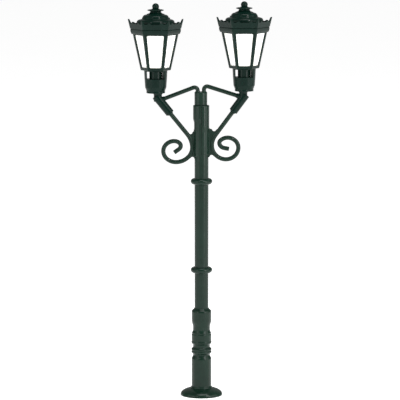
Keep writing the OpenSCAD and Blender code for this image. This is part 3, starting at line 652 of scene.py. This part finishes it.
# For each side: distance of the lower end, length of the angled sleeve, distance of the neck.
ELBOWS = {"left": (4.8, 3.46, 6.68), "right": (4.84, 3.24, 6.38)}
ELBOW_R, NECK_R = 0.67, 0.63
for side, (low_x, length, neck_x) in ELBOWS.items():
    node = "elbow_" + side
    lean = math.radians(BRACKETS[side]["lean"])
    start = arm_starts[side]
    low_z = start[1] + (low_x - start[0]) / math.tan(lean)

    def at(t):
        """A place along the arm from the elbow's lower end."""
        return low_x + math.sin(lean) * t, low_z + math.cos(lean) * t

    holder_z = low("holder_" + side).z
    s, a = lead_line[side]
    turn_z = s[1] - (neck_x - s[0]) * math.tan(a)
    sleeve = tube([at(0.06), at(length * 0.3), at(length * 0.7), at(length - 0.08)], ELBOW_R)
    collar = tube([at(-0.14), at(0.1), at(0.24)], BAR_R + 0.12, 28, 0.04)
    neck = tube([(neck_x, turn_z), (neck_x, holder_z), (neck_x, holder_z + 0.8)], NECK_R)
    flare_low, flare_high = holder_z - 0.26, holder_z - 0.02
    flare = lathe([(0, flare_low), (NECK_R, flare_low), (NECK_R + 0.15, flare_high), (0, flare_high)],
                  48, False, (neck_x, 0))
    lead_socket = tube([(neck_x - t, turn_z + t * math.tan(a)) for t in (1.0, 0.5, 0.0)],
                       LEAD_R + 0.07, 28, 0.05)
    shape = joined(sleeve, collar, neck, flare, lead_socket)
    if side == "left":
        shape = mirrored(shape)
    piece("elbow_%s_cast" % side, cast(node, shape, 0.035, 3, 0.45), plastic, [node], "green_plastic")


# ---- lanterns, built about their own axis with the holder's underside at zero ----

HEX_COS, HEX_TAN = math.cos(math.radians(30)), math.tan(math.radians(30))


def flat(corner):
    """Distance from the axis to a hexagon's flat side, from its corner radius."""
    return corner * HEX_COS


HOLDER_FOOT_R, HOLDER_R, CUP_H, HOLDER_H = 1.44, 1.79, 2.18, 3.5
TOP_PLATE, WINDOW_HALF, LAMP_R = 0.14, 1.36, 0.72
CAGE_LOW_R, CAGE_TOP_R, CAGE_T, SILL_H, WINDOW_TOP, CAGE_TOP = 2.4, 3.5, 0.2, 3.96, 8.92, 9.05
POST_LOW, POST_HIGH, PANE_CORNER, GLASS_T = 0.34, 0.43, 0.14, 0.3
DECK_H, CREST_H, SPIKE_H = 10.3, 10.63, 11.32
CORNICE_LOW_R, CORNICE_MID_R, CREST_R, SPIKE_R = 3.67, 3.88, 4.09, 4.26
TIER_LOW_R, TIER_HIGH_R, VENT_R, HAT_R, BALL_R, BALL_H = 2.92, 2.1, 0.9, 1.27, 0.53, 13.2
# Room round the lamp, how much the holder tapers, and the spigot's depth, wall and room.
LAMP_ROOM, TAPER, SPIGOT_H, SPIGOT_T, SPIGOT_ROOM = 0.06, 0.065, 0.75, 0.15, 0.09
# Heights of the vent and the finial's stem over the deck, and the tenon's and the stem's radii.
VENT_RISE, STEM_RISE, TENON_R, STEM_R = 2.03, 2.15, 0.41, 0.25


def holder_shape():
    """The cup, the two legs beside the openings, and the ring on top."""
    foot = HOLDER_FOOT_R
    outline = [(0, 0), (foot - 0.04, 0), (foot, 0.04), (foot, 0.24), (foot - 0.05, 0.3), (foot, 0.37)]
    outline += ease((foot + 0.04, 0.44), (HOLDER_R - 0.15, 0.95))
    cup = outline + [(HOLDER_R - 0.09, CUP_H - 0.3), (HOLDER_R - TAPER, CUP_H), (0, CUP_H)]
    ring_low = HOLDER_H - TOP_PLATE
    ring = [(LAMP_R + LAMP_ROOM, ring_low), (HOLDER_R - 0.005, ring_low), (HOLDER_R, HOLDER_H),
            (LAMP_R + LAMP_ROOM, HOLDER_H)]
    shapes = [lathe(cup, 96, False), lathe(ring, 96)]
    reach = math.degrees(math.acos(WINDOW_HALF / HOLDER_R))
    for turn in (0, 180):
        slab = []
        for h in (CUP_H - 0.1, HOLDER_H - 0.05):
            r = HOLDER_R - TAPER + TAPER * (h - CUP_H) / (HOLDER_H - CUP_H)
            angles = [math.radians(turn + a) for a in np.linspace(-reach, reach, 24)]
            slab.append([(r * math.cos(a), r * math.sin(a), h) for a in angles])
        points, faces = grid(slab, False, False)
        n = len(slab[0])
        faces += [tuple(range(n)), tuple(range(2 * n - 1, n - 1, -1)), (0, n, 2 * n - 1, n - 1)]
        shapes.append((points, faces))
    return joined(*shapes)


def cage_corner(h):
    return CAGE_LOW_R + (CAGE_TOP_R - CAGE_LOW_R) * (h - SILL_H) / (CAGE_TOP - SILL_H)


def on_face(k, u, h, inset=0.0):
    """A point on the cage's k-th face, u along it from its middle."""
    d = flat(cage_corner(h)) - inset
    a = math.radians(60 * k)
    return (u * math.cos(a) + d * math.sin(a), u * math.sin(a) - d * math.cos(a), h)


def cage_shape():
    """Six mitred panels, each with a window that has rounded corners, on a floor plate."""
    foot_h, corner, steps = HOLDER_H + 0.06, PANE_CORNER, 12
    lo, hi = cage_corner(SILL_H) / 2 - POST_LOW, cage_corner(WINDOW_TOP) / 2 - POST_HIGH
    slope = math.degrees(math.atan((hi - lo) / (WINDOW_TOP - SILL_H)))
    cs, tn = math.cos(math.radians(slope)), math.tan(math.radians(slope))
    in_lo, in_hi = lo - corner / cs + corner * tn, hi - corner / cs - corner * tn
    corners = [
        ((in_lo, SILL_H + corner), -90, -slope, 1, foot_h, True),
        ((in_hi, WINDOW_TOP - corner), -slope, 90, 1, CAGE_TOP, False),
        ((-in_hi, WINDOW_TOP - corner), 90, 180 + slope, -1, CAGE_TOP, True),
        ((-in_lo, SILL_H + corner), 180 + slope, 270, -1, foot_h, False),
    ]
    hole, rim = [], []
    for centre, start, end, side, edge_h, level_first in corners:
        points = arc(centre, corner, start, end, steps)
        for i, (u, h) in enumerate(points):
            hole.append((u, h))
            t = i / steps
            on_level = t <= 0.5 if level_first else t >= 0.5
            if on_level:
                s = 2 * t if level_first else 2 - 2 * t
                start_u = points[0][0] if level_first else points[-1][0]
                rim.append(("level", start_u, side, s, edge_h))
            else:
                s = 2 * t - 1 if level_first else 1 - 2 * t
                end_h = points[-1][1] if level_first else points[0][1]
                rim.append(("side", side, edge_h + (end_h - edge_h) * s))

    def rim_at(r, inset):
        """Where a rim point lies on a face that is set in by inset."""
        if r[0] == "side":
            _, side, h = r
            return side * ((flat(cage_corner(h)) - inset) * HEX_TAN), h
        _, start_u, side, s, h = r
        return start_u + (side * ((flat(cage_corner(h)) - inset) * HEX_TAN) - start_u) * s, h

    shapes = []
    count = len(hole)
    for k in range(6):
        loops = [
            [on_face(k, *rim_at(r, 0.0), 0.0) for r in rim],
            [on_face(k, u, h) for u, h in hole],
            [on_face(k, u, h, CAGE_T) for u, h in hole],
            [on_face(k, *rim_at(r, CAGE_T), CAGE_T) for r in rim],
        ]
        points, faces = grid(loops, False)
        last = 3 * count
        for i in range(count):
            j = (i + 1) % count
            if rim_at(rim[i], 0)[1] == rim_at(rim[j], 0)[1]:
                faces.append((i, j, last + j, last + i))
        shapes.append((points, faces))
    plate_r = CAGE_LOW_R - 0.15
    hole_r = LAMP_R + LAMP_ROOM
    floor_plate = [(hole_r, HOLDER_H), (plate_r, HOLDER_H), (plate_r + 0.07, HOLDER_H + 0.07),
                   (plate_r + 0.07, SILL_H - 0.2), (hole_r, SILL_H - 0.2)]
    shapes.append(lathe(floor_plate, 6))
    return joined(*shapes)


def glazing_shape():
    lo, hi = SILL_H - 0.19, CAGE_TOP - 0.06
    inset = (CAGE_T + 0.02) / HEX_COS
    thick = GLASS_T / HEX_COS
    outline = [(cage_corner(lo) - inset - thick, lo), (cage_corner(lo) - inset, lo),
               (cage_corner(hi) - inset, hi), (cage_corner(hi) - inset - thick, hi)]
    return lathe(outline, 6)


def crest_top(s, half):
    """Height of the crest at s along a face from its middle: a spike on each corner and two humps."""
    edge = half - abs(s)
    top = CREST_H
    if edge < 0.4:
        t = max(0.0, edge - 0.05) / 0.35
        top = max(top, CREST_H + (SPIKE_H - CREST_H) * (1 - t) ** 1.25)
    hump = (abs(s) - 0.46 * half) / 0.34
    if abs(hump) < 1:
        top = max(top, CREST_H + 0.2 * math.cos(hump * math.pi / 2) ** 0.8)
    return top


def glazing_inside():
    """Distance from the axis to the glazing's inside, where the spigot's lower edge stands."""
    return flat(cage_corner(CAGE_TOP - SPIGOT_H)) - CAGE_T - GLASS_T


def cornice_shape():
    """The six-sided cornice with its crest, and the thin spigot below it."""
    spigot_r = glazing_inside() - SPIGOT_ROOM
    inner = spigot_r - SPIGOT_T
    mid, rim = flat(CORNICE_MID_R), flat(CREST_R)
    rows = [
        ("round", inner, CAGE_TOP), ("hex", flat(CORNICE_LOW_R), CAGE_TOP),
        ("hex", flat(CORNICE_LOW_R) + 0.05, CAGE_TOP + 0.08),
        ("hex", mid - 0.04, CAGE_TOP + 0.34), ("hex", mid, CAGE_TOP + 0.69),
        ("hex", mid - 0.07, CAGE_TOP + 0.72), ("hex", mid - 0.07, CAGE_TOP + 0.78),
        ("hex", mid + 0.02, CAGE_TOP + 0.81), ("hex", rim, CREST_H),
        ("crest", 0.0, 0.5), ("crest", 0.0, 1.0), ("crest", -0.2, 1.0), ("crest", -0.22, 0.5),
        ("hex", rim - 0.24, CREST_H), ("hex", rim - 0.33, DECK_H), ("round", inner, DECK_H),
    ]
    samples = np.linspace(-1, 1, 45)[:-1]
    half = rim * HEX_TAN
    shape_rows = []
    for kind, value, h in rows:
        row = []
        for k in range(6):
            a = math.radians(60 * k)
            for u in samples:
                if kind == "round":
                    b = a + math.atan(u * HEX_TAN)
                    row.append((value * math.sin(b), -value * math.cos(b), h))
                    continue
                height, d = h, value
                if kind == "crest":
                    height = CREST_H + (crest_top(u * half, half) - CREST_H) * h + 0.02 * h
                    d = rim + (flat(SPIKE_R) - rim) * (height - CREST_H) / (SPIKE_H - CREST_H) + value
                s = u * d * HEX_TAN
                x, y = s * math.cos(a) + d * math.sin(a), s * math.sin(a) - d * math.cos(a)
                row.append((x, y, height))
        shape_rows.append(row)
    body = grid(shape_rows, True)
    bottom, top = CAGE_TOP - SPIGOT_H, CAGE_TOP + 0.05
    spigot = lathe([(inner, bottom), (spigot_r, bottom), (spigot_r, top), (inner, top)], 96)
    return joined(body, spigot)


def roof_outline():
    b = DECK_H + GAP
    inner = glazing_inside() - 0.25
    outline = [(inner - 0.2, b - 0.3), (inner, b - 0.3), (inner, b), (TIER_LOW_R, b)]
    outline += [(TIER_LOW_R, b + 0.4)]
    outline += arc((TIER_LOW_R - 0.5, b + 0.44), 0.5, 0, 82, 12)
    outline += [(TIER_HIGH_R + 0.05, b + 1.0), (TIER_HIGH_R, b + 1.06), (TIER_HIGH_R - 0.03, b + 1.16)]
    outline += arc((TIER_HIGH_R - 0.6, b + 1.14), 0.53, 12, 70, 10)
    outline += ease((1.42, b + 1.69), (VENT_R, b + 2.0), 8)
    hole_r = TENON_R + GAP
    outline += [(hole_r, b + 2.0), (hole_r, b + 1.5), (1.2, b + 1.35), (inner - 0.2, b + 0.6)]
    return outline


def vent_outline():
    b = DECK_H + VENT_RISE
    hole_r = 0.27
    outline = [(hole_r, b - 0.4), (TENON_R, b - 0.4), (TENON_R, b), (VENT_R, b)]
    outline += [(VENT_R - 0.03, b + 0.08), (VENT_R - 0.07, b + 0.12), (VENT_R - 0.03, b + 0.16)]
    outline += [(VENT_R - 0.02, b + 0.24), (HAT_R - 0.1, b + 0.25)]
    outline += arc((HAT_R - 0.06, b + 0.35), 0.06, -60, 90, 8)
    outline += ease((HAT_R - 0.16, b + 0.43), (0.66, b + 0.52), 8)
    outline += ease((0.58, b + 0.56), (0.4, b + 0.64), 6)
    outline += [(hole_r, b + 0.5)]
    return outline


def finial_outline():
    foot = math.degrees(math.asin(STEM_R / BALL_R))
    stem = [(0, DECK_H + STEM_RISE), (STEM_R, DECK_H + STEM_RISE)]
    return stem + arc((0, BALL_H), BALL_R, -90 + foot, 90, 32)


for side, roof_body in ROOFS.items():
    x, z = middle("finial_" + side).x, low("holder_" + side).z

    def here(shape):
        """A lantern's shape at this side's place."""
        return moved(shape, x, z)

    def shown(name, made, node, material=plastic, slot="green_plastic", **more):
        """A piece of this lantern, named after its side, standing for one CAD node."""
        piece(name % side, made, material, [node + "_" + side], slot, **more)

    roof = lathe(softened(roof_outline(), 0.035, 3, True), 112)
    vent = lathe(softened(vent_outline(), 0.025, 2, True), 80)
    finial = lathe(softened(finial_outline(), 0.035, 1), 64, False)
    shown("holder_%s_cast", cast("holder", here(holder_shape()), 0.035, 2, 0.5), "holder")
    shown("cage_%s_moulded", here(cage_shape()), "cage", bevel=0.03)
    shown("glazing_%s_moulded", here(glazing_shape()), "glazing", milky, "milky_glazing", bevel=0.04)
    shown("cornice_%s_moulded", here(cornice_shape()), "cornice", body=roof_body, bevel=0.03)
    shown("roof_%s_moulded", here(roof), "roof", body=roof_body)
    shown("vent_%s_turned", here(vent), "vent", body=roof_body)
    shown("finial_%s_turned", here(finial), "finial", body=roof_body)


# ---- CAD pieces that keep their shape ----

KEPT = {
    "foot_bush": dark_plastic, "wire_left": cable, "wire_right": cable,
    "core_left": plastic, "core_right": plastic,
    "contact_left": tinned, "contact_right": tinned, "lamp_left": lamp_glass, "lamp_right": lamp_glass,
}
for name, material in KEPT.items():
    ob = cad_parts[name]
    ob.data.materials.clear()
    ob.data.materials.append(material)
